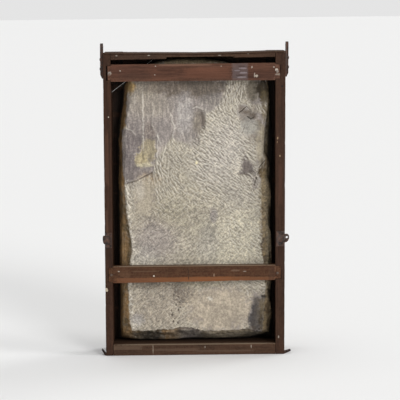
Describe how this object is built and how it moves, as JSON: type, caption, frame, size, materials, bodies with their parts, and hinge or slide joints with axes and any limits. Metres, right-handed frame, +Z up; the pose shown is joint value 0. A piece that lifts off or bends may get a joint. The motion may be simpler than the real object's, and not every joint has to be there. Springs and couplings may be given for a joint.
{
  "type": "marble niche carving",
  "caption": "Marble slab carved with an arched shell niche, held in an old wooden box frame with battens across its rough back and iron hanging straps.",
  "frame": {"origin": "middle of the wooden box's underside, on the floor that it stands on", "axes": "+Z up; -Y out of the rough back with its battens, which the picture shows; +Y out of the carved front; +X to the right as seen from the back"},
  "size_m": [0.5751, 0.1185, 0.9445],
  "materials": {
    "marble": "matte",
    "old_wood": "satin",
    "iron": "matte",
    "wire": "satin"
  },
  "bodies": {
    "root": {"niche_stone": "marble", "stile_left": "old_wood", "stile_right": "old_wood", "bottom_rail": "old_wood", "top_rail": "old_wood", "top_cap": "old_wood", "batten_upper": "old_wood", "batten_lower": "old_wood", "face_left": "old_wood", "face_right": "old_wood", "face_sill": "old_wood", "face_head": "old_wood", "hanger_left": "iron", "hanger_right": "iron", "hanger_left_nail_1": "iron", "hanger_left_nail_2": "iron", "hanger_right_nail_1": "iron", "hanger_right_nail_2": "iron", "batten_upper_screw_left": "iron", "batten_upper_screw_right": "iron", "batten_lower_screw_left": "iron", "batten_lower_screw_right": "iron", "plate_left": "iron", "plate_right": "iron", "plate_left_screw_1": "iron", "plate_left_screw_2": "iron", "plate_right_screw_1": "iron", "plate_right_screw_2": "iron", "tab_left": "iron", "tab_right": "iron", "corner_wire": "wire"}
  },
  "joints": []
}
